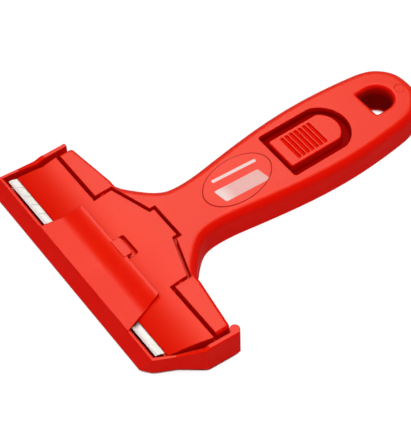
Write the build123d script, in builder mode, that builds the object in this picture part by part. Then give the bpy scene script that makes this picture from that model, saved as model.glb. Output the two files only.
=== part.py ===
from build123d import *
from math import sqrt
import os

os.makedirs("parts", exist_ok=True)

# Blade: its front edge lies on X zero and its underside on Z zero
blade_width = 18.0
blade_length = 100.0
blade_thickness = 0.5
bevel_width = 0.9
blade_skew = 6.6
blade_shift = 3.5

# Heights of the moulded body, measured from its flat underside
body_height = 13.6
bed_height = 7.5

# Head plan, as lengths behind the cutting edge and from the blade's ends
head_margin = 2.0
near_margin = 1.9
nose_back = 2.5
nose_land = 0.9
nose_run = 6.0
shoulder_length = 7.4
shoulder_rise = 3.0
shoulder_half = 29.7
corner_radius = 1.6
head_edge_radius = 1.5
edge_radius = 3.6
foot_radius = 1.2

# Neck and handle plan
neck_run = 20.7
neck_half = 12.7
handle_length = 103.8
handle_half = 18.6
bend_shares = [(0.203, 0.541), (0.541, 0.141)]
swell_shares = [(0.13, 0.229), (0.323, 0.712), (0.554, 1.0)]
tail_shares = [(0.824, 0.909), (0.93, 0.745), (0.981, 0.46)]

# Clamp plate
blade_show = 3.3
step_back = 1.4
side_length = 7.8
taper_length = 5.7
tongue_length = 2.0
side_half = 24.9
tongue_half = 7.4
plate_edge_height = 1.0
plate_flat_back = 10.1
waist_height = 2.2
tongue_height = 3.6
groove = 1.4
seat_depth = 0.4
clamp_gap = 0.05
tray_gap = 0.3
pocket_half = 5.2
pocket_rear_back = 0.2
pocket_length = 6.7
pocket_floor = 3.0
trunnion_back = 4.6
trunnion_height = 3.6
trunnion_radius = 1.2
trunnion_length = 3.4
pin_gap = 0.08

# Guard plan and section
guard_height = 12.5
guard_front = 2.5
guard_lean = 3.4
lip_height = 1.5
lip_wall = 0.8
ledge_step = 0.6
ledge_height = 0.65
lip_end_wall = 1.2
end_wall = 1.9
wall_edge_radius = 0.6
lip_run = 7.9
ramp_run = 10.1
near_ramp_run = 8.7
far_knee_run = 6.5
near_corner_out = 0.9
near_lip_out = 1.9
near_ramp_out = 3.65
near_rear_out = 4.4
far_corner_out = 2.0
far_lip_out = 4.2
far_knee_out = 4.2
far_ramp_out = 3.7
near_reach = 1.1
far_reach = 1.2
bead_radius = 1.95
bead_reach = 0.3
bead_out = 2.1
facet_reach = 4.0
flap_half = 29.6
flap_crease_half = 27.3
flap_ridge_half = 25.3
flap_front_height = 1.9
flap_crease_height = 3.1
flap_gap = 0.42
ridge_run = 17.0
rim_width = 1.2
rim_drop = 0.1
tab_half = 4.4
tab_reach = 2.7
tab_thickness = 1.6
tab_rise = 0.2
tab_corner = 1.0

# Thumb recess, slider and its lock bar; the recess is placed from the hanging hole
recess_front = 45.2
recess_half = 12.0
recess_straight = 25.1
recess_length = 33.8
recess_depth = 3.5
recess_floor = 1.4
recess_corner = 1.2
recess_blend = 4.0
pad_inset = 1.8
pad_half = 7.7
pad_straight = 23.8
pad_length = 28.1
pad_rise = 0.4
pad_gap = 0.3
pad_edge = 0.6
pad_corner = 1.0
pad_blend = 3.0
rib_pitch = 2.15
rib_start = 5.5
rib_width = 1.1
rib_half = 5.9
rib_depth = 0.8
rib_count = 7
rib_angle = 90
stem_inset = 8.0
stem_length = 10.0
stem_half = 2.2
slide_travel = 2.0
run_gap = 0.3
fit_gap = 0.02
bar_half = 3.0
bar_thickness = 3.5
bar_tail = 4.0
nose_inset = 3.0
wedge_share = 0.08

# Cavity, bottom cover and its screws
cover_thickness = 2.0
cover_half = 6.5
cover_front_back = 1.3
ledge_width = 1.3
boss_radius = 2.6
screw_radius = 1.1
screw_head_radius = 2.1
screw_head_height = 1.0
screw_length = 7.0
screw_inset = 3.2
guide_length = 5.0
cover_gap = 0.1

# Hanging hole and moulding mark, placed from the handle's tip
hole_front = 21.7
hole_half = 6.5
hole_straight = 5.4
hole_length = 11.8
hole_corner = 0.8
hole_lip = 1.5
mark_radius = 2.1
mark_inset = 5.9
mark_side = 1.4
mark_depth = 0.2

# Label, in the room between neck and recess
label_place_share = 0.49
label_long_share = 0.434
label_short_share = 0.787
label_thickness = 0.12
label_turn = 8.0

# Derived levels and stations
z_bottom = -bed_height
z_top = body_height - bed_height
z_guard = z_top - guard_height
head_half = blade_length / 2 + head_margin
skew_share = blade_skew / blade_width
plate_step_x = blade_width + step_back
tray_x = plate_step_x + groove
shoulder_end_x = plate_step_x + shoulder_length
shoulder_x = shoulder_end_x + shoulder_rise
neck_x = shoulder_x + neck_run
tip_x = neck_x + handle_length
side_x = plate_step_x + side_length
taper_x = side_x + taper_length
tongue_x = taper_x + tongue_length
flat_x = plate_step_x + plate_flat_back
plate_drop = z_top - plate_edge_height
plate_radius = ((flat_x - blade_show) ** 2 + plate_drop ** 2) / (2 * plate_drop)
plate_under = blade_thickness + clamp_gap
trunnion_x = plate_step_x + trunnion_back
hole_x = tip_x - hole_front
recess_x = hole_x - recess_front
pad_x = recess_x + pad_inset
recess_z = z_top - recess_depth
roof_z = recess_z - recess_floor
bar_top = roof_z - run_gap
bar_bottom = bar_top - bar_thickness
nose_x = side_x + nose_inset
nose_end_x = tongue_x + groove - slide_travel - run_gap
stem_x = pad_x + stem_inset
cover_top = z_bottom + cover_thickness
cover_front_x = side_x + cover_front_back
cover_end_x = hole_x - cover_half
bar_end_x = stem_x + stem_length + bar_tail
lip_end_x = lip_run - guard_front
ramp_x = lip_end_x + ramp_run
near_ramp_x = lip_end_x + near_ramp_run
far_knee_x = lip_end_x + far_knee_run
ridge_x = ridge_run - guard_front
near_rear_x = shoulder_end_x + near_reach
far_rear_x = shoulder_end_x - far_reach
lip_in_x = lip_wall - guard_front
ledge_x = lip_in_x + ledge_step
lean_share = guard_lean / (lip_height - z_guard)
flap_under = plate_edge_height + flap_gap
tab_z = z_top + tab_rise
pocket_rear_x = plate_step_x - pocket_rear_back
pad_z = recess_z + pad_gap
mark_x = tip_x - mark_inset
label_room = recess_x - neck_x


def far_y(x):
    return blade_length / 2 + blade_shift + blade_skew / 2 - skew_share * x


def near_y(x):
    return blade_shift + blade_skew / 2 - blade_length / 2 - skew_share * x - near_margin


def lean_x(y):
    return (far_y(0) - y) / skew_share


far_kink_x = lean_x(head_half)
near_kink_x = (near_y(0) + head_half) / skew_share


def front_points(x, rear_x):
    return [
        (x, near_y(x)),
        (near_kink_x, -head_half),
        (rear_x, -head_half),
        (rear_x, head_half),
        (far_kink_x, head_half),
        (x, far_y(x)),
    ]


def plate_points():
    rear = [
        (plate_step_x, -side_half),
        (side_x, -side_half),
        (taper_x, -tongue_half),
        (tongue_x, -tongue_half),
        (tongue_x, tongue_half),
        (taper_x, tongue_half),
        (side_x, side_half),
        (plate_step_x, side_half),
    ]
    front = front_points(blade_show, plate_step_x)
    return front[:3] + rear + front[3:]


def tongue_z(x):
    return tongue_height + wedge_share * (x - side_x)


def plate_arc_z(x, gap):
    radius = plate_radius + gap
    return z_top - plate_radius + sqrt(radius ** 2 - (flat_x - x) ** 2)


def rim_behind(piece, level, x):
    return piece.faces().sort_by(Axis.Z)[level].edges().filter_by(lambda e: (e @ 0.5).X > x)


def outline_arc(front, straight, length, half):
    Polyline((front + straight, half), (front, half), (front, -half), (front + straight, -half))
    ThreePointArc((front + straight, -half), (front + length, 0), (front + straight, half))


def cover_points():
    wide_x = neck_x + cover_half
    swell_x = neck_x + handle_length / 2
    return [
        (cover_front_x, cover_half),
        (wide_x, cover_half),
        (wide_x + cover_half, neck_half - ledge_width * 2),
        (swell_x, handle_half - ledge_width * 4),
        (cover_end_x - cover_half, handle_half - ledge_width * 4),
        (cover_end_x, neck_half - ledge_width * 4),
        (cover_end_x, -neck_half + ledge_width * 4),
        (cover_end_x - cover_half, -handle_half + ledge_width * 4),
        (swell_x, -handle_half + ledge_width * 4),
        (wide_x + cover_half, -neck_half + ledge_width * 2),
        (wide_x, -cover_half),
        (cover_front_x, -cover_half),
    ]


screw_front_x = neck_x + cover_half * 2 + screw_inset
screw_rear_x = cover_end_x - screw_inset - ledge_width
screw_front_y = neck_half - ledge_width * 2 - screw_inset
screw_rear_y = neck_half - ledge_width * 4 - screw_inset / 2
screw_spots = [
    (screw_front_x, screw_front_y),
    (screw_front_x, -screw_front_y),
    (screw_rear_x, screw_rear_y),
    (screw_rear_x, -screw_rear_y),
]
guide_spots = [(neck_x, 0), (stem_x - stem_length, 0)]

# Blade
with BuildPart() as blade:
    with BuildSketch(Plane.XY):
        Polygon(
            (0, far_y(0) - blade_length),
            (blade_width, far_y(blade_width) - blade_length),
            (blade_width, far_y(blade_width)),
            (0, far_y(0)),
            align=None,
        )
    extrude(amount=blade_thickness)
    with BuildSketch(Plane.XZ):
        Polygon(
            (0, 0), (blade_width, 0), (blade_width, blade_thickness), (bevel_width, blade_thickness),
            align=None,
        )
    extrude(amount=blade_length, both=True, mode=Mode.INTERSECT)
blade.part.label = "blade"

# Head of the body, with a tighter rim than the handle's
with BuildPart() as head:
    with BuildSketch(Plane.XY.offset(z_bottom)):
        with BuildLine():
            Polyline(
                (plate_step_x, 0), (plate_step_x, head_half), (shoulder_end_x, head_half),
                (shoulder_x, shoulder_half), (shoulder_x, 0),
            )
            mirror(about=Plane.XZ)
        make_face()
    extrude(amount=body_height)
    fillet(head.edges().filter_by(Axis.Z).group_by(Axis.X)[1], radius=corner_radius)
    fillet(rim_behind(head, -1, plate_step_x), radius=head_edge_radius)

# Body: neck and handle, joined to the head and its nose
with BuildPart() as handle_body:
    with BuildSketch(Plane.XY.offset(z_bottom)):
        with BuildLine():
            bend = [
                (shoulder_x + a * neck_run, neck_half + b * (shoulder_half - neck_half))
                for a, b in bend_shares
            ]
            swell = [
                (neck_x + a * handle_length, neck_half + b * (handle_half - neck_half))
                for a, b in swell_shares
            ]
            tail = [(neck_x + a * handle_length, b * handle_half) for a, b in tail_shares]
            Polyline((plate_step_x, 0), (plate_step_x, shoulder_half), (shoulder_x, shoulder_half))
            Spline(
                (shoulder_x, shoulder_half), *bend, (neck_x, neck_half),
                tangents=[(shoulder_rise, shoulder_half - head_half), (1, 0)],
            )
            Spline((neck_x, neck_half), *swell, *tail, (tip_x, 0), tangents=[(1, 0), (0, -1)])
            mirror(about=Plane.XZ)
        make_face()
    extrude(amount=body_height)
    fillet(rim_behind(handle_body, -1, shoulder_x), radius=edge_radius)
    add(head.part)
    with BuildSketch(Plane.XY.offset(z_bottom)):
        Polygon(*front_points(nose_back, tray_x), align=None)
    extrude(amount=body_height)
    fillet(rim_behind(handle_body, 0, plate_step_x), radius=foot_radius)
    # Tray for the clamp plate, its front floor and the blade seat
    with BuildSketch(Plane.XY.offset(waist_height - tray_gap)):
        Polygon(*plate_points(), align=None)
        offset(amount=groove, kind=Kind.INTERSECTION)
    extrude(amount=body_height, mode=Mode.SUBTRACT)
    with BuildSketch(Plane.XZ):
        with BuildLine():
            Polyline(
                (0, z_top), (0, 0), (blade_width + fit_gap, 0),
                (blade_width + fit_gap, seat_depth), (tray_x, seat_depth), (tray_x, z_top), (0, z_top),
            )
        make_face()
        with BuildLine():
            Polyline(
                (0, z_bottom), (0, -nose_land), (nose_back, -nose_land),
                (nose_back + nose_run, z_bottom), (0, z_bottom),
            )
        make_face()
    extrude(amount=blade_length, both=True, mode=Mode.SUBTRACT)
    # Trunnion bearings
    with BuildSketch(Plane.XZ):
        with Locations((trunnion_x, trunnion_height)):
            Circle(trunnion_radius + pin_gap)
    extrude(amount=side_half + trunnion_length + tray_gap, both=True, mode=Mode.SUBTRACT)
    # Thumb recess and hanging hole
    with BuildSketch(Plane.XY.offset(recess_z)) as recess:
        with BuildLine():
            outline_arc(recess_x, recess_straight, recess_length, recess_half)
        make_face()
        fillet(recess.vertices().group_by(Axis.X)[0], radius=recess_corner)
        fillet(recess.vertices().group_by(Axis.X)[-1], radius=recess_blend)
    extrude(amount=body_height, mode=Mode.SUBTRACT)
    with BuildSketch(Plane.XY.offset(z_bottom)) as hole:
        with BuildLine():
            outline_arc(hole_x, hole_straight, hole_length, hole_half)
        make_face()
        fillet(hole.vertices().group_by(Axis.X)[0], radius=hole_corner)
    extrude(amount=body_height, mode=Mode.SUBTRACT)
    fillet(handle_body.edges(Select.LAST).group_by(Axis.Z)[-1], radius=hole_lip)
    # Cover recess, cavity and bar channel, open below
    with BuildSketch(Plane.XY.offset(z_bottom)):
        Polygon(*cover_points(), align=None)
    extrude(amount=cover_thickness, mode=Mode.SUBTRACT)
    with BuildSketch(Plane.XY.offset(z_bottom)) as cavity:
        Polygon(*cover_points(), align=None)
        offset(amount=-ledge_width, mode=Mode.REPLACE)
        with Locations((neck_x, 0)):
            Rectangle(neck_run * 2, neck_half * 2, mode=Mode.SUBTRACT)
    extrude(amount=roof_z - z_bottom, mode=Mode.SUBTRACT)
    with BuildSketch(Plane.XY.offset(z_bottom)):
        with Locations((nose_x - run_gap, 0)):
            Rectangle(
                cover_end_x - ledge_width - nose_x, (bar_half + run_gap) * 2,
                align=(Align.MIN, Align.CENTER),
            )
    extrude(amount=roof_z - z_bottom, mode=Mode.SUBTRACT)
    # Openings for the wedge and for the slider's stem
    with BuildSketch(Plane.XY.offset(bar_bottom)):
        with Locations((nose_x - run_gap, 0)):
            Rectangle(
                tongue_x + groove - nose_x + run_gap, (bar_half + run_gap) * 2,
                align=(Align.MIN, Align.CENTER),
            )
        with Locations((stem_x - run_gap, 0)):
            Rectangle(
                stem_length + slide_travel + run_gap * 2, (stem_half + run_gap) * 2,
                align=(Align.MIN, Align.CENTER),
            )
    extrude(amount=recess_z - bar_bottom, mode=Mode.SUBTRACT)
    # Screw bosses in the cavity
    with BuildSketch(Plane.XY.offset(cover_top)):
        with Locations(*screw_spots):
            Circle(boss_radius)
    extrude(amount=roof_z - cover_top)
    with BuildSketch(Plane.XY.offset(cover_top)):
        with Locations(*screw_spots):
            Circle(screw_radius + fit_gap)
    extrude(amount=screw_length - cover_thickness + run_gap, mode=Mode.SUBTRACT)
    # Round mark of the moulding gate
    with BuildSketch(Plane.XY.offset(z_top - mark_depth)):
        with Locations((mark_x, -mark_side)):
            Circle(mark_radius)
    extrude(amount=mark_depth, mode=Mode.SUBTRACT)
handle_body.part.label = "handle_body"

# Clamp plate: curved plate, waist, tongue and trunnions
with BuildPart() as clamp_plate:
    with BuildSketch(Plane.XY):
        Polygon(*plate_points(), align=None)
    extrude(amount=z_top)
    with BuildSketch(Plane.XZ):
        with BuildLine():
            Polyline(
                (blade_show, plate_edge_height), (blade_show, plate_under),
                (plate_step_x, plate_under), (plate_step_x, waist_height), (side_x, waist_height),
                (side_x, tongue_height), (tongue_x, tongue_z(tongue_x)), (tongue_x, z_top), (flat_x, z_top),
            )
            TangentArc((flat_x, z_top), (blade_show, plate_edge_height), tangent=(-1, 0))
        make_face()
    extrude(amount=blade_length, both=True, mode=Mode.INTERSECT)
    with BuildSketch(Plane.XZ):
        with Locations((trunnion_x, trunnion_height)):
            Circle(trunnion_radius)
    extrude(amount=side_half + trunnion_length, both=True)
    with BuildSketch(Plane.XY.offset(pocket_floor)) as pocket:
        with Locations((pocket_rear_x, 0)):
            Rectangle(pocket_length, pocket_half * 2, align=(Align.MAX, Align.CENTER))
        fillet(pocket.vertices().group_by(Axis.X)[-1], radius=tab_corner)
    extrude(amount=body_height, mode=Mode.SUBTRACT)
clamp_plate.part.label = "clamp_plate"


def leaning_wall(top_x, top_z, near_end_y, far_end_y):
    foot_x = top_x - lean_share * (top_z - z_guard)
    with BuildPart() as wall:
        with BuildSketch(Plane.XZ):
            Polygon((top_x, top_z), (foot_x, z_guard), (top_x, z_guard), align=None)
        extrude(amount=blade_length, both=True)
        with BuildSketch(Plane.XY.offset(z_guard)):
            Polygon(
                (top_x, near_end_y), (foot_x, near_end_y + facet_reach), (foot_x, far_end_y),
                (top_x, far_end_y), align=None,
            )
        extrude(amount=guard_height, mode=Mode.INTERSECT)
    return wall.part


def guard_points(front_x, lip_side, wall):
    return [
        (front_x, near_y(-guard_front) - near_corner_out + lip_side),
        (lip_end_x, near_y(lip_end_x) - near_lip_out + lip_side),
        (near_ramp_x, -head_half - near_ramp_out + wall),
        (near_rear_x, -head_half - near_rear_out + wall),
    ], [
        (far_rear_x, head_half + far_ramp_out - wall),
        (ramp_x, head_half + far_ramp_out - wall),
        (far_knee_x, head_half + far_knee_out - wall),
        (lip_end_x, far_y(lip_end_x) + far_lip_out - lip_side),
        (front_x, far_y(-guard_front) + far_corner_out - lip_side),
    ]


near_outer, far_outer = guard_points(-guard_front, 0, 0)
outer_wall = leaning_wall(-guard_front, lip_height, near_outer[0][1], far_outer[-1][1])
inner_wall = leaning_wall(
    ledge_x, ledge_height, near_outer[0][1] + lip_end_wall, far_outer[-1][1] - lip_end_wall
)

# Guard flap over the clamp plate
with BuildPart() as flap:
    with BuildSketch(Plane.XZ):
        with BuildLine():
            middle_x = (blade_show + ridge_x) / 2
            Polyline(
                (ridge_x, plate_arc_z(ridge_x, flap_gap)), (ridge_x, z_top),
                (ridge_x - rim_width, z_top - rim_drop),
            )
            Spline(
                (ridge_x - rim_width, z_top - rim_drop), (lip_end_x, flap_crease_height),
                tangents=[(-1, -0.2), (-1, -0.15)],
            )
            Polyline(
                (lip_end_x, flap_crease_height), (-guard_front, flap_front_height),
                (-guard_front, flap_under), (blade_show, flap_under),
            )
            ThreePointArc(
                (blade_show, flap_under), (middle_x, plate_arc_z(middle_x, flap_gap)),
                (ridge_x, plate_arc_z(ridge_x, flap_gap)),
            )
        make_face()
    extrude(amount=blade_length, both=True)
    with BuildSketch(Plane.XY):
        Polygon(
            (-guard_front, -flap_half), (lip_end_x, -flap_crease_half), (ridge_x, -flap_ridge_half),
            (ridge_x, flap_ridge_half), (lip_end_x, flap_crease_half), (-guard_front, flap_half),
            align=None,
        )
    extrude(amount=guard_height, mode=Mode.INTERSECT)
    with BuildSketch(Plane.XY.offset(tab_z - tab_thickness)) as tab:
        with Locations((ridge_x + tab_reach, 0)):
            Rectangle(tab_reach + rim_width, tab_half * 2, align=(Align.MAX, Align.CENTER))
        fillet(tab.vertices().group_by(Axis.X)[-1], radius=tab_corner)
    extrude(amount=tab_thickness)

# Guard
with BuildPart() as blade_guard:
    with BuildSketch(Plane.XY.offset(z_guard)):
        Polygon(*near_outer, *far_outer, align=None)
    extrude(amount=guard_height)
    with BuildSketch(Plane.XZ):
        Polygon(
            (-guard_front, z_guard), (-guard_front, lip_height), (lip_end_x, lip_height),
            (ramp_x, z_top), (near_rear_x, z_top), (near_rear_x, z_guard), align=None,
        )
    extrude(amount=blade_length, both=True, mode=Mode.INTERSECT)
    rim = blade_guard.faces().sort_by(Axis.Z)[-1].edges()
    fillet(rim.filter_by(lambda e: abs((e @ 0.5).Y) > side_half), radius=wall_edge_radius)
    add(outer_wall)
    for front_x, low, high in ((lip_in_x, ledge_height, z_top), (ledge_x, z_guard, ledge_height)):
        near_inner, far_inner = guard_points(front_x, lip_end_wall, end_wall)
        beyond_y = far_outer[0][1] + end_wall
        with BuildSketch(Plane.XY.offset(low)):
            Polygon(*near_inner, *far_inner, align=None)
            Polygon(
                near_inner[-1], (near_rear_x, beyond_y), (far_rear_x, beyond_y),
                (far_rear_x, near_inner[-1][1]), align=None,
            )
        extrude(amount=high - low, mode=Mode.SUBTRACT)
    add(inner_wall, mode=Mode.SUBTRACT)
    with BuildSketch(Plane.XY.offset(z_guard)):
        with Locations((shoulder_end_x + bead_reach, -head_half - bead_out)):
            Circle(bead_radius)
    extrude(amount=guard_height)
    add(flap.part)
blade_guard.part.label = "blade_guard"

# Thumb slider: ribbed pad on a stem
with BuildPart() as thumb_slider:
    with BuildSketch(Plane.XY.offset(pad_z)) as pad:
        with BuildLine():
            outline_arc(pad_x, pad_straight, pad_length, pad_half)
        make_face()
        fillet(pad.vertices().group_by(Axis.X)[0], radius=pad_corner)
        fillet(pad.vertices().group_by(Axis.X)[-1], radius=pad_blend)
    extrude(amount=z_top + pad_rise - pad_z)
    fillet(thumb_slider.faces().sort_by(Axis.Z)[-1].edges(), radius=pad_edge)
    with BuildSketch(Plane.XY.offset(z_top + pad_rise - rib_depth)):
        with Locations(*[(pad_x + rib_start + rib_pitch * i, 0) for i in range(rib_count)]):
            SlotOverall(rib_half * 2, rib_width, rotation=rib_angle)
    extrude(amount=rib_depth, mode=Mode.SUBTRACT)
    with BuildSketch(Plane.XY.offset(bar_bottom)):
        with Locations((stem_x, 0)):
            Rectangle(stem_length, stem_half * 2, align=(Align.MIN, Align.CENTER))
    extrude(amount=pad_z - bar_bottom)
thumb_slider.part.label = "thumb_slider"

# Lock bar with its wedge nose
with BuildPart() as lock_bar:
    with BuildSketch(Plane.XZ):
        Polygon(
            (nose_x, bar_bottom), (nose_x, tongue_z(nose_x) - clamp_gap),
            (nose_end_x, tongue_z(nose_end_x) - clamp_gap), (nose_end_x, bar_top),
            (bar_end_x, bar_top), (bar_end_x, bar_bottom), align=None,
        )
    extrude(amount=bar_half, both=True)
    with BuildSketch(Plane.XY.offset(bar_bottom)):
        with Locations((stem_x - fit_gap, 0)):
            Rectangle(
                stem_length + fit_gap * 2, (stem_half + fit_gap) * 2, align=(Align.MIN, Align.CENTER)
            )
    extrude(amount=bar_thickness, mode=Mode.SUBTRACT)
lock_bar.part.label = "lock_bar"

# Bottom cover with guides for the bar
with BuildPart() as bottom_cover:
    with BuildSketch(Plane.XY.offset(z_bottom)):
        Polygon(*cover_points(), align=None)
        offset(amount=-cover_gap)
    extrude(amount=cover_thickness)
    with BuildSketch(Plane.XY.offset(cover_top)):
        with Locations(*guide_spots):
            Rectangle(guide_length, bar_half * 2)
    extrude(amount=bar_bottom - cover_gap - cover_top)
    with Locations(*[(x, y, z_bottom) for x, y in screw_spots]):
        Cylinder(
            screw_radius + fit_gap, cover_thickness, align=(Align.CENTER, Align.CENTER, Align.MIN),
            mode=Mode.SUBTRACT,
        )
        Cone(
            screw_head_radius + fit_gap, screw_radius + fit_gap, screw_head_height,
            align=(Align.CENTER, Align.CENTER, Align.MIN), mode=Mode.SUBTRACT,
        )
bottom_cover.part.label = "bottom_cover"

# Cover screws
with BuildPart() as cover_screws:
    with Locations(*[(x, y, z_bottom) for x, y in screw_spots]):
        Cone(
            screw_head_radius, screw_radius, screw_head_height,
            align=(Align.CENTER, Align.CENTER, Align.MIN),
        )
        Cylinder(screw_radius, screw_length, align=(Align.CENTER, Align.CENTER, Align.MIN))
cover_screws.part.label = "cover_screws"

# Label film
with BuildPart() as label:
    with BuildSketch(Plane.XY.offset(z_top)):
        with Locations((neck_x + label_place_share * label_room, 0)):
            Ellipse(label_long_share * label_room, label_short_share * neck_half, rotation=label_turn)
    extrude(amount=label_thickness)
label.part.label = "label"

pieces = [
    (handle_body, "handle_body"),
    (bottom_cover, "bottom_cover"),
    (cover_screws, "cover_screws"),
    (blade, "blade"),
    (clamp_plate, "clamp_plate"),
    (thumb_slider, "thumb_slider"),
    (lock_bar, "lock_bar"),
    (blade_guard, "blade_guard"),
    (label, "label"),
]
for piece, node in pieces:
    export_step(piece.part, f"parts/{node}.step")
    print(node, round(piece.part.volume), piece.part.is_valid, piece.part.bounding_box())
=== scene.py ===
import math

import bmesh
import bpy
from mathutils import Matrix, Vector


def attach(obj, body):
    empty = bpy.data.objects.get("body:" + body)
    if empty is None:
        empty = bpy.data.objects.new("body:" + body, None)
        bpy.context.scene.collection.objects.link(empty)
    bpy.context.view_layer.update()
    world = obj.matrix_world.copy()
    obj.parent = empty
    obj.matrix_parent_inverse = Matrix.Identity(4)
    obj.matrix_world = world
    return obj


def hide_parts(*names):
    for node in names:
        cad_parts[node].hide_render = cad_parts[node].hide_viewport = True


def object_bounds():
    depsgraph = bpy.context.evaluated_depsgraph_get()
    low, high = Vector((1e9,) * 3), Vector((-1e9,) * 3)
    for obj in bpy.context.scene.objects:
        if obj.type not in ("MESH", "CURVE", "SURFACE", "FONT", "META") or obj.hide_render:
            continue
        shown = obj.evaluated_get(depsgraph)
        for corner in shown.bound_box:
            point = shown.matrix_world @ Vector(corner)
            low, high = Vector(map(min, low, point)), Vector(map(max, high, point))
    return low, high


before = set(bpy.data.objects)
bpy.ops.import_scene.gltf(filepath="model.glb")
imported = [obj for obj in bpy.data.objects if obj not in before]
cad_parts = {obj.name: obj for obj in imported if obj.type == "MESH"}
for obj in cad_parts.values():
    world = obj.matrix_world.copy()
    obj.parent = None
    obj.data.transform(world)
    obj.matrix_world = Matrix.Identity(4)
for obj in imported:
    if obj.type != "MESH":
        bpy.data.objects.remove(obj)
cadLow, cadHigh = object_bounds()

print("stage: frame loaded")

# Camera solved from the photograph, in metres of the row frame
cameraValues = {
    "azimuth": -0.596078804,
    "elevation": 0.917466680,
    "roll": -0.0405392343,
    "distance": 0.563043,
    "aim": (0.0463441, -0.0099461, 0.0061),
    "lens": 131.982,
    "sensor": 36,
    "clipStart": 0.01,
    "clipEnd": 10,
}


def addObject(name, data):
    thing = bpy.data.objects.new(name, data)
    bpy.context.scene.collection.objects.link(thing)
    return thing


def makeCamera(v):
    sa, ca = math.sin(v["azimuth"]), math.cos(v["azimuth"])
    se, ce = math.sin(v["elevation"]), math.cos(v["elevation"])
    back = Vector((sa * ce, -ca * ce, se))
    right = Vector((ca, sa, 0))
    up = back.cross(right)
    cr, sr = math.cos(v["roll"]), math.sin(v["roll"])
    x, y = right * cr + up * sr, up * cr - right * sr
    data = bpy.data.cameras.new("camera")
    data.sensor_fit = "HORIZONTAL"
    data.sensor_width = v["sensor"]
    data.lens = v["lens"]
    data.clip_start, data.clip_end = v["clipStart"], v["clipEnd"]
    camera = addObject("camera", data)
    spot = Vector(v["aim"]) + back * v["distance"]
    camera.matrix_world = Matrix.Translation(spot) @ Matrix((x, y, back)).transposed().to_4x4()
    bpy.context.scene.camera = camera


makeCamera(cameraValues)
bpy.context.scene.view_settings.view_transform = "Standard"


class Nodes:
    # One material, with short ways to add its nodes and join them
    def __init__(self, name):
        self.material = bpy.data.materials.new(name)
        self.material.use_nodes = True
        self.tree = self.material.node_tree
        self.tree.nodes.clear()
        self.output = self.add("ShaderNodeOutputMaterial")
        spot = self.add("ShaderNodeTexCoord").outputs
        self.coords = spot["Object"]
        self.x, self.y, self.z = self.split(spot["Object"])
        self.upward = self.calc("ABSOLUTE", self.split(spot["Normal"])[2])

    def add(self, kind, **settings):
        node = self.tree.nodes.new(kind)
        for key, value in settings.items():
            setattr(node, key, value)
        return node

    def put(self, socket, value):
        if hasattr(value, "is_output"):
            self.tree.links.new(value, socket)
        else:
            socket.default_value = value

    def split(self, vector):
        node = self.add("ShaderNodeSeparateXYZ")
        self.put(node.inputs[0], vector)
        return node.outputs["X"], node.outputs["Y"], node.outputs["Z"]

    def calc(self, operation, *values):
        node = self.add("ShaderNodeMath", operation=operation)
        for socket, value in zip(node.inputs, values):
            self.put(socket, value)
        return node.outputs[0]

    def plus(self, a, b):
        return self.calc("ADD", a, b)

    def times(self, a, b):
        return self.calc("MULTIPLY", a, b)

    def length(self, a, b):
        return self.calc("SQRT", self.plus(self.calc("POWER", a, 2.0), self.calc("POWER", b, 2.0)))

    def ramp(self, value, low, high, start=0.0, end=1.0):
        node = self.add("ShaderNodeMapRange")
        names = ("Value", "From Min", "From Max", "To Min", "To Max")
        for name, setting in zip(names, (value, low, high, start, end)):
            self.put(node.inputs[name], setting)
        return node.outputs["Result"]

    def fall(self, value, low, high):
        return self.ramp(value, low, high, 1.0, 0.0)

    def between(self, value, start, low, high, end):
        return self.times(self.ramp(value, start, low), self.fall(value, high, end))

    def fromLine(self, value, pitch):
        # Distance from the nearest of evenly spaced lines
        return self.calc("ABSOLUTE", self.calc("WRAP", value, -pitch / 2, pitch / 2))

    def mix(self, share, a, b):
        node = self.add("ShaderNodeMix", data_type="RGBA")
        for socket, value in zip((node.inputs[0], *node.inputs[6:8]), (share, a, b)):
            self.put(socket, value)
        return node.outputs[2]

    def noise(self, scale, detail=3.0, roughness=0.5, stretch=None):
        node = self.add("ShaderNodeTexNoise")
        coords = self.coords
        if stretch:
            place = self.add("ShaderNodeMapping")
            self.put(place.inputs["Vector"], coords)
            place.inputs["Scale"].default_value = stretch
            coords = place.outputs["Vector"]
        self.put(node.inputs["Vector"], coords)
        node.inputs["Scale"].default_value = scale
        node.inputs["Detail"].default_value = detail
        node.inputs["Roughness"].default_value = roughness
        return node.outputs["Fac"]

    def patches(self, noise, levels, start=0.0, end=1.0):
        # Noise with more contrast: start below the lower level, end above the upper one
        return self.ramp(self.noise(*noise), *levels, start, end)

    def place(self, x, y, turn=0.0):
        # Local X and Y about a point, turned with the pattern
        node = self.add("ShaderNodeMapping", vector_type="TEXTURE")
        self.put(node.inputs["Vector"], self.coords)
        node.inputs["Location"].default_value = (x, y, 0)
        node.inputs["Rotation"].default_value = (0, 0, math.radians(turn))
        return self.split(node.outputs["Vector"])[:2]

    def field(self, x, y, turn, lean, halfLong, halfShort, corner, soft):
        # A leaning patch with round corners: 1 inside, 0 outside
        u, w = self.place(x, y, turn)
        u = self.plus(u, self.times(w, lean))
        past = []
        for along, half in ((u, halfLong), (w, halfShort)):
            beyond = self.calc("SUBTRACT", self.calc("ABSOLUTE", along), half - corner)
            past.append(self.calc("MAXIMUM", beyond, 0.0))
        return self.fall(self.length(*past), corner - soft, corner + soft)

    def shader(self, color, roughness, height, strength, distance, normal=None, **extra):
        node = self.add("ShaderNodeBsdfPrincipled")
        self.put(node.inputs["Base Color"], color)
        self.put(node.inputs["Roughness"], roughness)
        for key, value in extra.items():
            self.put(node.inputs[key.replace("_", " ")], value)
        bump = self.add("ShaderNodeBump")
        self.put(bump.inputs["Height"], height)
        bump.inputs["Strength"].default_value = strength
        bump.inputs["Distance"].default_value = distance
        if normal is not None:
            self.put(bump.inputs["Normal"], normal)
        self.put(node.inputs["Normal"], bump.outputs["Normal"])
        self.put(self.output.inputs["Surface"], node.outputs[0])
        return self.material


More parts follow.
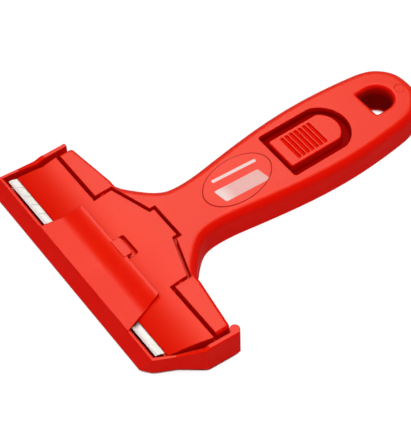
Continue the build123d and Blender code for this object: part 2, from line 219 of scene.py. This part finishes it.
# Moulded plastic: a soft cloud in the colour, flow lines, fine grain and rubbed patches.
# Each noise is its scale, detail, roughness and stretch
plasticValues = {
    "cloudNoise": (35.0, 4.0),
    "cloudLevels": (0.35, 0.65),
    "flowNoise": (30.0, 3.0, 0.5, (0.25, 1.0, 1.0)),
    "flowLevels": (0.4, 0.62),
    "rubNoise": (260.0, 6.0, 0.7),
    "rubLevels": (0.60, 0.72),
    "rubDull": 0.03,
    "smudgeNoise": (60.0, 5.0, 0.6),
    "smudgeLevels": (0.3, 0.7),
    "smudge": 0.04,
    "fineNoise": (900.0, 4.0, 0.6),
    "fineShare": 0.5,
    "coarseNoise": (120.0, 2.0),
    "reliefHeight": 0.00008,
    "edgeSamples": 8,
    "ior": 1.5,
    "sheen": 0.20,
    "sheenTint": (1.0, 0.90, 0.74, 1),
    # Walls, told by how far they face up, are duller, and get painted shade: a deeper red and a
    # redder, weaker sheen
    "wallDull": 0.50,
    "dullLevels": (0.62, 0.92),
    "wallShadeColor": (0.77, 0.003, 0.0, 1),
    "wallShadeSheen": (0.75, 0.25, 0.12, 1),
    "wallShadeLevels": (0.85, 0.985),
}

# Colour and its second shade, roughness, width of the rounded edges, strength of the grain
bodyPaint = {"color": (0.87, 0.019, 0.0, 1), "deep": (0.84, 0.014, 0.0, 1)}
guardPaint = {"color": (0.86, 0.015, 0.0, 1), "deep": (0.83, 0.011, 0.0, 1)}
barPaint = {"color": (0.020, 0.020, 0.022, 1), "deep": (0.030, 0.030, 0.030, 1)}
finishes = {
    "body": {**bodyPaint, "gloss": 0.30, "edge": 0.0005, "grain": 0.10},
    "slider": {**bodyPaint, "gloss": 0.30, "edge": 0.00018, "grain": 0.10},
    "cover": {**bodyPaint, "gloss": 0.48, "edge": 0.00018, "grain": 0.45},
    "label": {**bodyPaint, "gloss": 0.24, "edge": 0.00018, "grain": 0.05},
    "guard": {**guardPaint, "gloss": 0.30, "edge": 0.0005, "grain": 0.10},
    "bar": {**barPaint, "gloss": 0.45, "edge": 0.00018, "grain": 0.10, "paintWallShade": False},
}


def plasticLook(n, v, color, deep, gloss, edge, grain, paintWallShade=True):
    cloud = n.patches(v["cloudNoise"], v["cloudLevels"])
    flow = n.patches(v["flowNoise"], v["flowLevels"])
    tint = n.mix(n.times(n.plus(cloud, flow), 0.5), color, deep)
    rubbed = n.patches(v["rubNoise"], v["rubLevels"])
    smudge = n.patches(v["smudgeNoise"], v["smudgeLevels"], gloss - v["smudge"], gloss + v["smudge"])
    rough = n.plus(smudge, n.times(rubbed, v["rubDull"]))
    rough = n.plus(rough, n.times(n.fall(n.upward, *v["dullLevels"]), v["wallDull"]))
    sheen = v["sheenTint"]
    # Painted shade on the walls, by how far they face up: a deeper red and a redder, weaker sheen
    if paintWallShade:
        shadedWall = n.fall(n.upward, *v["wallShadeLevels"])
        tint = n.mix(shadedWall, tint, v["wallShadeColor"])
        sheen = n.mix(shadedWall, sheen, v["wallShadeSheen"])
    rounded = n.add("ShaderNodeBevel", samples=v["edgeSamples"])
    rounded.inputs["Radius"].default_value = edge
    fine = n.times(n.noise(*v["fineNoise"]), v["fineShare"])
    relief = {
        "height": n.plus(fine, n.noise(*v["coarseNoise"])),
        "strength": grain,
        "distance": v["reliefHeight"],
        "normal": rounded.outputs["Normal"],
    }
    return tint, rough, sheen, relief


def plasticShader(n, v, tint, rough, sheen, relief):
    return n.shader(
        tint, rough, IOR=v["ior"], Specular_IOR_Level=v["sheen"], Specular_Tint=sheen, **relief
    )


def paintedShadeShader(n, v, look, share, place):
    # Mixes the place's painted shade in, a deeper red and a redder sheen, along with added dullness
    tint, rough, sheen, relief = look
    tint = n.mix(share, tint, place["paintedShade"])
    rough = n.plus(rough, n.times(share, place["dull"]))
    sheen = n.mix(share, sheen, place["sheenTint"])
    return plasticShader(n, v, tint, rough, sheen, relief)


def plastic(name, v, finish):
    n = Nodes(name)
    return plasticShader(n, v, *plasticLook(n, v, **finish))


# Painted shade: the body's red deepens, its sheen reddens and it dulls down the thumb recess and the
# hanging hole.
# Each pocket is its front, rear, half width, floor and top
pocketValues = {
    "paintedShade": (0.30, 0.0, 0.0, 1),
    "dull": 0.4,
    "sheenTint": (0.5, 0.04, 0.02, 1),
    "recess": (0.0870, 0.1217, 0.0126, 0.0026, 0.0056),
    "hole": (0.1322, 0.1448, 0.0070, 0.0005, 0.0050),
    "soft": 0.0003,
    "under": -0.0072,
}


def bodyPlastic(v, finish, pocket):
    n = Nodes("bodyRed")
    look = plasticLook(n, v, **finish)
    side = n.calc("ABSOLUTE", n.y)
    soft = pocket["soft"]
    # Painted shade, strongest at each pocket's floor
    pocketShade = 0.0
    for front, rear, half, floor, top in (pocket["recess"], pocket["hole"]):
        inside = n.between(n.x, front - soft, front, rear, rear + soft)
        inside = n.times(inside, n.fall(side, half, half + soft))
        pocketShade = n.plus(pocketShade, n.times(inside, n.fall(n.z, floor, top)))
    pocketShade = n.times(pocketShade, n.calc("GREATER_THAN", n.z, pocket["under"]))
    return paintedShadeShader(n, v, look, pocketShade, pocket)


# Painted shade: the slider's flanks, its grooves and their soft rims get a deeper red and a redder
# sheen, and are duller than its top
sliderValues = {
    "paintedShade": (0.80, 0.006, 0.0, 1),
    "dull": 0.5,
    "sheenTint": (0.6, 0.08, 0.05, 1),
    "top": 0.0063,
    "floor": 0.0059,
    "grooveStart": 0.0943,
    "groovePitch": 0.00215,
    "grooveCount": 7,
    "rimHalf": 0.00074,
    "rimReach": 0.0061,
    "rimSoft": 0.00010,
}


def sliderPlastic(v, finish, pad):
    n = Nodes("sliderRed")
    look = plasticLook(n, v, **finish)
    start, pitch, count = pad["grooveStart"], pad["groovePitch"], pad["grooveCount"]
    half, reach, soft = pad["rimHalf"], pad["rimReach"], pad["rimSoft"]
    fromGroove = n.fromLine(n.calc("SUBTRACT", n.x, start), pitch)
    rim = n.fall(fromGroove, half - soft, half + soft)
    middle = start + pitch * (count - 1) / 2
    fromMiddle = n.calc("ABSOLUTE", n.calc("SUBTRACT", n.x, middle))
    rim = n.times(rim, n.calc("LESS_THAN", fromMiddle, pitch * count / 2))
    rim = n.times(rim, n.fall(n.calc("ABSOLUTE", n.y), reach, reach + soft * 2))
    # Painted shade on the rims by the grooves and on everything below the top
    low = n.calc("MAXIMUM", rim, n.fall(n.z, pad["floor"], pad["top"]))
    return paintedShadeShader(n, v, look, low, pad)


# Painted shade: the clamp plate's red deepens and its sheen reddens towards the front lip by the
# blade, where the plate slopes down
lipValues = {
    "paintedShade": (0.72, 0.004, 0.0, 1),
    "dull": 0.0,
    "sheenTint": (0.85, 0.55, 0.25, 1),
    "start": 0.0034,
    "end": 0.0180,
}


def platePlastic(v, finish, lip):
    n = Nodes("plateRed")
    look = plasticLook(n, v, **finish)
    # Painted shade, strongest at the front lip
    return paintedShadeShader(n, v, look, n.fall(n.x, lip["start"], lip["end"]), lip)


# Clear film: a dark line round its rim, a blank writing field and a plain stripe.
# Field and stripe are their place, turn, lean, half length, half width and corner
labelValues = {
    "x": 0.06858,
    "turn": 8.0,
    "halfLong": 0.0160,
    "halfShort": 0.0100,
    "line": (0.969, 0.975),
    "lineColor": (0.42, 0.001, 0.0, 1),
    "lineDull": 0.5,
    "print": (0.82, 0.62, 0.60, 1),
    "pinkerPrint": (0.76, 0.40, 0.38, 1),
    "pinkerLevels": (0.060, 0.064),
    "field": (0.0684, -0.0034, -3.0, 0.22, 0.0100, 0.0033, 0.0006),
    "stripe": (0.0700, 0.0042, -3.5, 0.0, 0.0100, 0.0007, 0.0006),
    "soft": 0.00008,
    "wornNoise": (700.0, 5.0, 0.7),
    "wornLevels": (0.30, 0.42),
    "wornShare": 0.75,
}


def labelFilm(v, finish, film):
    n = Nodes("labelFilm")
    tint, rough, sheen, relief = plasticLook(n, v, **finish)
    worn = n.patches(film["wornNoise"], film["wornLevels"], film["wornShare"], 1.0)
    # The field's print is whiter towards the blade and pinker further back
    pinkerPrint = n.mix(n.ramp(n.x, *film["pinkerLevels"]), film["print"], film["pinkerPrint"])
    for key, ink in (("field", pinkerPrint), ("stripe", film["print"])):
        patch = n.field(*film[key], film["soft"])
        tint = n.mix(n.times(patch, worn), tint, ink)
    u, w = n.place(film["x"], 0, film["turn"])
    u = n.calc("DIVIDE", u, film["halfLong"])
    w = n.calc("DIVIDE", w, film["halfShort"])
    line = n.ramp(n.length(u, w), *film["line"])
    tint = n.mix(line, tint, film["lineColor"])
    rough = n.plus(rough, n.times(line, film["lineDull"]))
    return plasticShader(n, v, tint, rough, sheen, relief)


# Blade: long grinding marks, a real ground edge painted bright and pale as a painted reflection, and
# slanting score marks
bladeValues = {
    "color": (0.62, 0.61, 0.565, 1),
    "deep": (0.58, 0.57, 0.53, 1),
    "cloudNoise": (140.0, 3.0),
    "cloudLevels": (0.35, 0.65),
    "grainNoise": (1500.0, 3.0, 0.6, (1.0, 0.05, 1.0)),
    "grainLevels": (0.3, 0.7),
    "rough": (0.57, 0.68),
    "groundGlint": (0.86, 0.81, 0.79, 1),
    "groundDull": 0.1,
    "bevel": (0.0009, 0.001035),
    "scoreColor": (0.20, 0.23, 0.18, 1),
    "scorePitch": 0.0053,
    "scoreSpot": 0.0527,
    "scoreSlope": 0.78,
    "scoreWave": 3000.0,
    "scoreSwing": 0.00012,
    "scoreReach": (0.0007, 0.00084, 0.0028, 0.00308),
    "scoreEdge": (0.00012, 0.00024),
    "pressedFrom": (-0.06, -0.02),
    "pressed": (0.15, 0.65),
    "worked": 0.15,
    "relief": 0.12,
    "reliefHeight": 0.00004,
}


def bladeSteel(v):
    n = Nodes("bladeSteel")
    grain = n.noise(*v["grainNoise"])
    tint = n.mix(n.patches(v["cloudNoise"], v["cloudLevels"]), v["color"], v["deep"])
    x, y = n.place(0, v["scoreSpot"])
    wave = n.times(n.calc("SINE", n.times(x, v["scoreWave"])), v["scoreSwing"])
    slide = n.plus(n.plus(y, n.times(x, v["scoreSlope"])), wave)
    stroke = n.fall(n.fromLine(slide, v["scorePitch"]), *v["scoreEdge"])
    stroke = n.times(stroke, n.between(x, *v["scoreReach"]))
    score = n.times(stroke, n.ramp(y, *v["pressedFrom"], *v["pressed"]))
    tint = n.mix(score, tint, v["scoreColor"])
    # Painted reflection: the ground edge gets a bright pale colour and is barely metallic
    groundGlint = n.fall(x, *v["bevel"])
    tint = n.mix(groundGlint, tint, v["groundGlint"])
    rough = n.plus(n.ramp(grain, *v["grainLevels"], *v["rough"]), n.times(groundGlint, v["groundDull"]))
    metal = n.ramp(n.calc("MAXIMUM", groundGlint, score), 0.0, 1.0, 1.0, v["worked"])
    height = n.calc("SUBTRACT", grain, score)
    return n.shader(tint, rough, height, v["relief"], v["reliefHeight"], Metallic=metal)


nodeMaterials = {
    "handle_body": bodyPlastic(plasticValues, finishes["body"], pocketValues),
    "bottom_cover": plastic("coverRed", plasticValues, finishes["cover"]),
    "clamp_plate": platePlastic(plasticValues, finishes["body"], lipValues),
    "thumb_slider": sliderPlastic(plasticValues, finishes["slider"], sliderValues),
    "label": labelFilm(plasticValues, finishes["label"], labelValues),
    "blade_guard": plastic("guardRed", plasticValues, finishes["guard"]),
    "lock_bar": plastic("barGrey", plasticValues, finishes["bar"]),
    "blade": bladeSteel(bladeValues),
}
for name, material in nodeMaterials.items():
    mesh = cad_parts[name].data
    mesh.materials.clear()
    mesh.materials.append(material)
print("stage: materials set")

# Self-tapping screws of the bottom cover: countersunk cross heads down, one ridge wound up
# the shank. Spots are X, Y and turn in degrees, outline and ridge are radius and height
screwValues = {
    "spots": (
        (0.0667, 0.0069, 20),
        (0.0667, -0.0069, 65),
        (0.1216, 0.0059, 140),
        (0.1216, -0.0059, 95),
    ),
    "face": -0.0075,
    "segments": 24,
    "headRadius": 0.0021,
    "outline": ((0.0021, 0.00015), (0.00085, 0.0010), (0.00085, 0.0060), (0.0002, 0.0070)),
    "rim": 0.00008,
    "rimShare": 0.97,
    "rimSegments": 2,
    "crossLong": 0.00125,
    "crossWide": 0.00032,
    "crossDeep": 0.00065,
    "crossTaper": 0.7,
    "ridge": ((0.00080, 0.0013), (0.00108, 0.00155), (0.00080, 0.0018)),
    "ridgePitch": 0.00085,
    "ridgeTurns": 5,
    "ridgeSteps": 14,
    "sharpAngle": 35,
    "tiny": 1e-7,
    "color": (0.55, 0.55, 0.56, 1),
    "deep": (0.42, 0.42, 0.44, 1),
    "cloudNoise": (400.0, 3.0),
    "cloudLevels": (0.35, 0.65),
    "grainNoise": (1100.0, 4.0, 0.6),
    "grainLevels": (0.3, 0.7),
    "rough": (0.24, 0.42),
    "relief": 0.15,
    "reliefHeight": 0.00003,
}


def screwSteel(v):
    n = Nodes("screwSteel")
    grain = n.noise(*v["grainNoise"])
    tint = n.mix(n.patches(v["cloudNoise"], v["cloudLevels"]), v["color"], v["deep"])
    rough = n.ramp(grain, *v["grainLevels"], *v["rough"])
    return n.shader(tint, rough, grain, v["relief"], v["reliefHeight"], Metallic=1.0)


def partsOf(kind, geometry):
    return [part for part in geometry if isinstance(part, kind)]


def crossHead(bm, v):
    bmesh.ops.create_circle(bm, cap_ends=True, radius=v["headRadius"], segments=v["segments"])
    for along in (Vector((1, 0, 0)), Vector((0, 1, 0))):
        for reach in (v["crossWide"], -v["crossWide"], v["crossLong"], -v["crossLong"]):
            whole = bm.verts[:] + bm.edges[:] + bm.faces[:]
            bmesh.ops.bisect_plane(
                bm, geom=whole, dist=v["tiny"], plane_co=along * reach, plane_no=along
            )
    cross = []
    for face in bm.faces:
        spot = face.calc_center_median()
        near, far = sorted((abs(spot.x), abs(spot.y)))
        if near < v["crossWide"] and far < v["crossLong"]:
            cross.append(face)
    pressed = bmesh.ops.extrude_face_region(bm, geom=cross)["geom"]
    bmesh.ops.delete(bm, geom=cross, context="FACES")
    verts = partsOf(bmesh.types.BMVert, pressed)
    bmesh.ops.scale(bm, vec=(v["crossTaper"], v["crossTaper"], 1), verts=verts)
    bmesh.ops.translate(bm, vec=(0, 0, v["crossDeep"]), verts=verts)


def shank(bm, v):
    ring = [edge for edge in bm.edges if edge.is_boundary]
    radius, height = v["headRadius"], 0.0
    for nextRadius, nextHeight in v["outline"]:
        grown = bmesh.ops.extrude_edge_only(bm, edges=ring)["geom"]
        ring = [edge for edge in partsOf(bmesh.types.BMEdge, grown) if edge.is_boundary]
        verts = partsOf(bmesh.types.BMVert, grown)
        bmesh.ops.scale(bm, vec=(nextRadius / radius, nextRadius / radius, 1), verts=verts)
        bmesh.ops.translate(bm, vec=(0, 0, nextHeight - height), verts=verts)
        radius, height = nextRadius, nextHeight
    bmesh.ops.edgeloop_fill(bm, edges=ring)


def onRim(vert, v):
    return abs(vert.co.z) < v["tiny"] and vert.co.xy.length > v["headRadius"] * v["rimShare"]


def screwShape(v):
    bm = bmesh.new()
    crossHead(bm, v)
    shank(bm, v)
    rim = [edge for edge in bm.edges if all(onRim(vert, v) for vert in edge.verts)]
    bmesh.ops.bevel(
        bm, geom=rim, offset=v["rim"], segments=v["rimSegments"], profile=0.5,
        affect="EDGES", material=-1,
    )
    ridge = bm.faces.new([bm.verts.new((radius, 0, height)) for radius, height in v["ridge"]])
    bmesh.ops.spin(
        bm, geom=[ridge] + ridge.edges[:] + ridge.verts[:], cent=(0, 0, 0), axis=(0, 0, 1),
        dvec=(0, 0, v["ridgePitch"] / v["ridgeSteps"]), angle=math.tau * v["ridgeTurns"],
        steps=v["ridgeTurns"] * v["ridgeSteps"], use_duplicate=False,
    )
    bmesh.ops.recalc_face_normals(bm, faces=bm.faces[:])
    return bm


def makeScrews(v):
    mesh = bpy.data.meshes.new("crossScrews")
    whole = bmesh.new()
    for x, y, turn in v["spots"]:
        bm = screwShape(v)
        turned = Matrix.Rotation(math.radians(turn), 3, "Z")
        bmesh.ops.rotate(bm, cent=(0, 0, 0), matrix=turned, verts=bm.verts)
        bmesh.ops.translate(bm, vec=(x, y, v["face"]), verts=bm.verts)
        bm.to_mesh(mesh)
        bm.free()
        whole.from_mesh(mesh)
    for edge in whole.edges:
        edge.smooth = edge.calc_face_angle(0.0) < math.radians(v["sharpAngle"])
    for face in whole.faces:
        face.smooth = True
    whole.to_mesh(mesh)
    whole.free()
    screws = addObject("crossScrews", mesh)
    mesh.materials.append(screwSteel(v))
    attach(screws, "handle")
    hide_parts("cover_screws")


makeScrews(screwValues)
print("stage: screws made")

# White paper: its own colour lights the part, and the camera and the gloss see a glowing one with a
# faint shadow.
# Painted shade on it: no glow and a dark red in the blade's narrow gap, and a painted shadow along
# the hanging hole's far edge
floorValues = {
    "size": 6.0,
    "paper": (0.80, 0.80, 0.80, 1),
    "shade": (0.784, 0.784, 0.784, 1),
    "cloudNoise": (3.0, 2.0),
    "cloudLevels": (0.3, 0.7),
    "shown": (0.14, 0.14, 0.14, 1),
    "glow": 0.90,
    "nookReach": 0.011,
    "nookSamples": 16,
    "nookLevels": (0.38, 0.47),
    "nookShadeColor": (0.45, 0.002, 0.002, 1),
    "nookEnd": 0.03,
    "holeShadowSpot": (0.1372, -0.0013),
    "holeShadowLevels": (0.0061, 0.0073),
    "holeShadowEnd": 0.0105,
}


def nookFree(n, v):
    # 0 where shade is painted, 1 on the open floor
    nook = n.add("ShaderNodeAmbientOcclusion", samples=v["nookSamples"])
    nook.inputs["Distance"].default_value = v["nookReach"]
    openGap = n.ramp(nook.outputs["AO"], *v["nookLevels"])
    openGap = n.calc("MAXIMUM", openGap, n.calc("GREATER_THAN", n.x, v["nookEnd"]))
    reach = n.length(*n.place(*v["holeShadowSpot"]))
    outside = n.calc("GREATER_THAN", reach, v["holeShadowEnd"])
    openHole = n.calc("MAXIMUM", n.fall(reach, *v["holeShadowLevels"]), outside)
    return n.times(openGap, openHole)


def floorPaper(v):
    n = Nodes("floorPaper")
    plain = n.add("ShaderNodeBsdfDiffuse")
    cloud = n.patches(v["cloudNoise"], v["cloudLevels"])
    n.put(plain.inputs["Color"], n.mix(cloud, v["paper"], v["shade"]))
    clear = nookFree(n, v)
    shown = n.add("ShaderNodeBsdfDiffuse")
    n.put(shown.inputs["Color"], n.mix(clear, v["nookShadeColor"], v["shown"]))
    glow = n.add("ShaderNodeEmission")
    n.put(glow.inputs["Strength"], n.times(clear, v["glow"]))
    both = n.add("ShaderNodeAddShader")
    n.put(both.inputs[0], shown.outputs[0])
    n.put(both.inputs[1], glow.outputs[0])
    rays = n.add("ShaderNodeLightPath").outputs
    seen = n.calc("MAXIMUM", rays["Is Camera Ray"], rays["Is Glossy Ray"])
    seen = n.calc("MAXIMUM", seen, rays["Is Transmission Ray"])
    choice = n.add("ShaderNodeMixShader")
    for socket, value in zip(choice.inputs, (seen, plain.outputs[0], both.outputs[0])):
        n.put(socket, value)
    n.put(n.output.inputs["Surface"], choice.outputs[0])
    return n.material


def makeFloor(v):
    bm = bmesh.new()
    bmesh.ops.create_grid(bm, x_segments=1, y_segments=1, size=v["size"] / 2)
    bmesh.ops.translate(bm, vec=(0, 0, cadLow.z), verts=bm.verts)
    mesh = bpy.data.meshes.new("floor")
    bm.to_mesh(mesh)
    bm.free()
    floor = addObject("floor", mesh)
    mesh.materials.append(floorPaper(v))


makeFloor(floorValues)

# The card gives the soft reflection on the tops, the top and fill lamps give the light
lampValues = {
    "card": {
        "power": 16.0,
        "size": (0.92, 1.15),
        "reach": 1.3,
        "side": (0.232, 0.355, 0.900),
        "lights": False,
        "reflects": True,
    },
    "top": {
        "power": 13.0,
        "size": (0.9, 0.9),
        "reach": 1.3,
        "side": (0.02, -0.04, 1.0),
        "lights": True,
        "reflects": False,
    },
    "fill": {
        "power": 4.0,
        "size": (1.3, 0.9),
        "reach": 1.4,
        "side": (-0.70, -0.45, 0.40),
        "lights": True,
        "reflects": False,
    },
}
skyValues = {
    "aim": (0.07, 0.0, 0.0),
    "color": (1, 1, 1, 1),
    "strength": 0.25,
}


def makeLamp(name, v, aim):
    data = bpy.data.lights.new(name, "AREA")
    data.shape = "RECTANGLE"
    data.energy = v["power"]
    data.size, data.size_y = v["size"]
    lamp = addObject(name, data)
    lamp.visible_diffuse, lamp.visible_glossy = v["lights"], v["reflects"]
    back = Vector(v["side"]).normalized()
    across = Vector((0, 1, 0)).cross(back).normalized()
    turn = Matrix((across, back.cross(across), back)).transposed().to_4x4()
    lamp.matrix_world = Matrix.Translation(Vector(aim) + back * v["reach"]) @ turn


def makeSky(v):
    world = bpy.data.worlds.new("sky")
    bpy.context.scene.world = world
    world.use_nodes = True
    shade = world.node_tree.nodes["Background"]
    shade.inputs["Color"].default_value = v["color"]
    shade.inputs["Strength"].default_value = v["strength"]


for name, lamp in lampValues.items():
    makeLamp(name, lamp, skyValues["aim"])
makeSky(skyValues)
print("stage: floor and light set")
